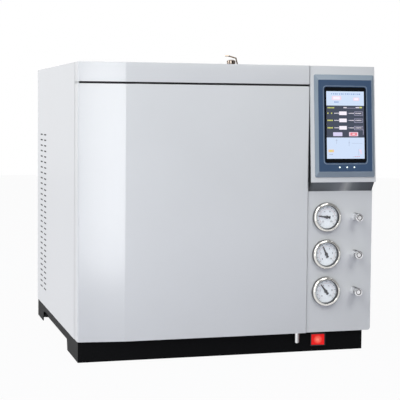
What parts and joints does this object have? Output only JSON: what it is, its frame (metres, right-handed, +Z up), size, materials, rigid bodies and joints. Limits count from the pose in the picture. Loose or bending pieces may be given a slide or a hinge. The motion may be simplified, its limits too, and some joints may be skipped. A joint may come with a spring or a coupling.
{
  "type": "gas chromatograph",
  "caption": "Benchtop gas chromatograph with a hinged oven door, a lid over injector and detector, a tilted touch screen, pressure gauges with valve knobs, oven fan, column and rocker switch.",
  "frame": {"origin": "centre of the bounding box at bench level", "axes": "+Z up, -Y out of the oven door, +X to the right seen from the front"},
  "size_m": [0.585, 0.588, 0.584],
  "materials": {
    "case_paint": "satin",
    "base_paint": "satin",
    "wedge_paint": "satin",
    "bezel_plastic": "gloss",
    "screen_glass": "gloss",
    "stainless": "brushed",
    "zinc_sheet": "satin",
    "mineral_wool": "matt",
    "gasket_silicone": "matt",
    "black_rubber": "matt",
    "pin_steel": "ground",
    "black_plastic": "satin",
    "button_chrome": "polished",
    "spring_steel": "drawn",
    "heater_sheath": "oxidised",
    "motor_enamel": "satin",
    "column_polyimide": "satin",
    "machined_steel": "machined",
    "tube_steel": "drawn",
    "gauge_chrome": "polished",
    "dial_white": "matt",
    "lens_glass": "clear",
    "pointer_black": "satin",
    "valve_brass": "plated",
    "knob_chrome": "polished",
    "manifold_aluminium": "machined",
    "switch_red": "gloss",
    "board_green": "satin",
    "fitting_brass": "machined"
  },
  "bodies": {
    "cabinet": {"left_side_panel": "case_paint", "right_side_panel": "case_paint", "rear_panel": "case_paint", "column_front_panel": "case_paint", "screen_fascia": "case_paint", "base_chassis": "base_paint", "screen_wedge": "wedge_paint", "screen_bezel": "bezel_plastic", "screen_glass": "screen_glass", "oven_liner": "stainless", "oven_frame": "stainless", "fan_baffle": "stainless", "column_hanger": "stainless", "exhaust_duct": "stainless", "oven_back_plate": "zinc_sheet", "top_deck": "zinc_sheet", "divider_wall": "zinc_sheet", "lid_hinge_brackets": "zinc_sheet", "door_hinge_bracket": "zinc_sheet", "power_supply": "zinc_sheet", "oven_insulation": "mineral_wool", "rubber_feet": "black_rubber", "lid_bumpers": "black_rubber", "door_hinge_pins": "pin_steel", "lid_hinge_pins": "pin_steel", "switch_frame": "black_plastic", "mains_inlet": "black_plastic", "heater": "heater_sheath", "fan_motor": "motor_enamel", "capillary_column": "column_polyimide", "injector_body": "machined_steel", "detector_body": "machined_steel", "detector_cap": "machined_steel", "purge_line": "tube_steel", "gauge_cases": "gauge_chrome", "gauge_dials": "dial_white", "gauge_lenses": "lens_glass", "valve_bodies": "valve_brass", "gas_manifold": "manifold_aluminium", "main_board": "board_green", "gas_fittings": "fitting_brass"},
    "oven_door": {"door_shell": "case_paint", "door_liner": "stainless", "door_insulation": "mineral_wool", "door_gasket": "gasket_silicone", "latch_case": "black_plastic", "latch_spring": "spring_steel"},
    "latch_button": {"latch_button": "button_chrome"},
    "top_lid": {"lid": "case_paint"},
    "oven_fan": {"oven_fan": "machined_steel", "fan_shaft": "pin_steel"},
    "exhaust_flap": {"exhaust_flap": "stainless"},
    "septum_nut": {"septum_nut": "machined_steel"},
    "gauge_1_pointer": {"gauge_1_pointer": "pointer_black"},
    "gauge_2_pointer": {"gauge_2_pointer": "pointer_black"},
    "gauge_3_pointer": {"gauge_3_pointer": "pointer_black"},
    "valve_1_knob": {"valve_1_knob": "knob_chrome"},
    "valve_2_knob": {"valve_2_knob": "knob_chrome"},
    "valve_3_knob": {"valve_3_knob": "knob_chrome"},
    "power_rocker": {"power_rocker": "switch_red"}
  },
  "joints": [
    {"name": "door_hinge", "type": "hinge", "parent": "cabinet", "child": "oven_door", "pos_m": [-0.2865, -0.239, 0.28], "axis": [0, 0, -1], "range_deg": [0, 110]},
    {"name": "latch_release", "type": "slide", "parent": "oven_door", "child": "latch_button", "axis": [0, 0, 1], "range_m": [0, 0.004], "stiffness_N_per_m": 300, "springref_m": -0.004, "deforming": ["latch_spring"]},
    {"name": "lid_hinge", "type": "hinge", "parent": "cabinet", "child": "top_lid", "pos_m": [-0.068, 0.231, 0.5535], "axis": [-1, 0, 0], "range_deg": [0, 95]},
    {"name": "fan_spin", "type": "hinge", "parent": "cabinet", "child": "oven_fan", "pos_m": [-0.0675, 0, 0.255], "axis": [0, 1, 0], "continuous": true},
    {"name": "flap_hinge", "type": "hinge", "parent": "cabinet", "child": "exhaust_flap", "pos_m": [-0.1675, 0.2855, 0.383], "axis": [1, 0, 0], "range_deg": [0, 75]},
    {"name": "nut_turn", "type": "hinge", "parent": "cabinet", "child": "septum_nut", "pos_m": [0.0445, -0.119, 0.56], "axis": [0, 0, 1], "range_deg": [0, 720]},
    {"name": "pointer_1_turn", "type": "hinge", "parent": "cabinet", "child": "gauge_1_pointer", "pos_m": [0.1963, -0.265, 0.2665], "axis": [0, 1, 0], "range_deg": [-52, 218]},
    {"name": "pointer_2_turn", "type": "hinge", "parent": "cabinet", "child": "gauge_2_pointer", "pos_m": [0.1963, -0.265, 0.1937], "axis": [0, 1, 0], "range_deg": [-109.5, 160.5]},
    {"name": "pointer_3_turn", "type": "hinge", "parent": "cabinet", "child": "gauge_3_pointer", "pos_m": [0.1963, -0.265, 0.1209], "axis": [0, 1, 0], "range_deg": [-97, 173]},
    {"name": "valve_1_turn", "type": "hinge", "parent": "cabinet", "child": "valve_1_knob", "pos_m": [0.2545, -0.265, 0.2665], "axis": [0, 1, 0], "range_deg": [-900, 810]},
    {"name": "valve_2_turn", "type": "hinge", "parent": "cabinet", "child": "valve_2_knob", "pos_m": [0.2545, -0.265, 0.1937], "axis": [0, 1, 0], "range_deg": [-900, 810]},
    {"name": "valve_3_turn", "type": "hinge", "parent": "cabinet", "child": "valve_3_knob", "pos_m": [0.2545, -0.265, 0.1209], "axis": [0, 1, 0], "range_deg": [-900, 810]},
    {"name": "rocker_tip", "type": "hinge", "parent": "cabinet", "child": "power_rocker", "pos_m": [0.1855, -0.2522, 0.0243], "axis": [0, 0, 1], "range_deg": [0, 16]}
  ]
}
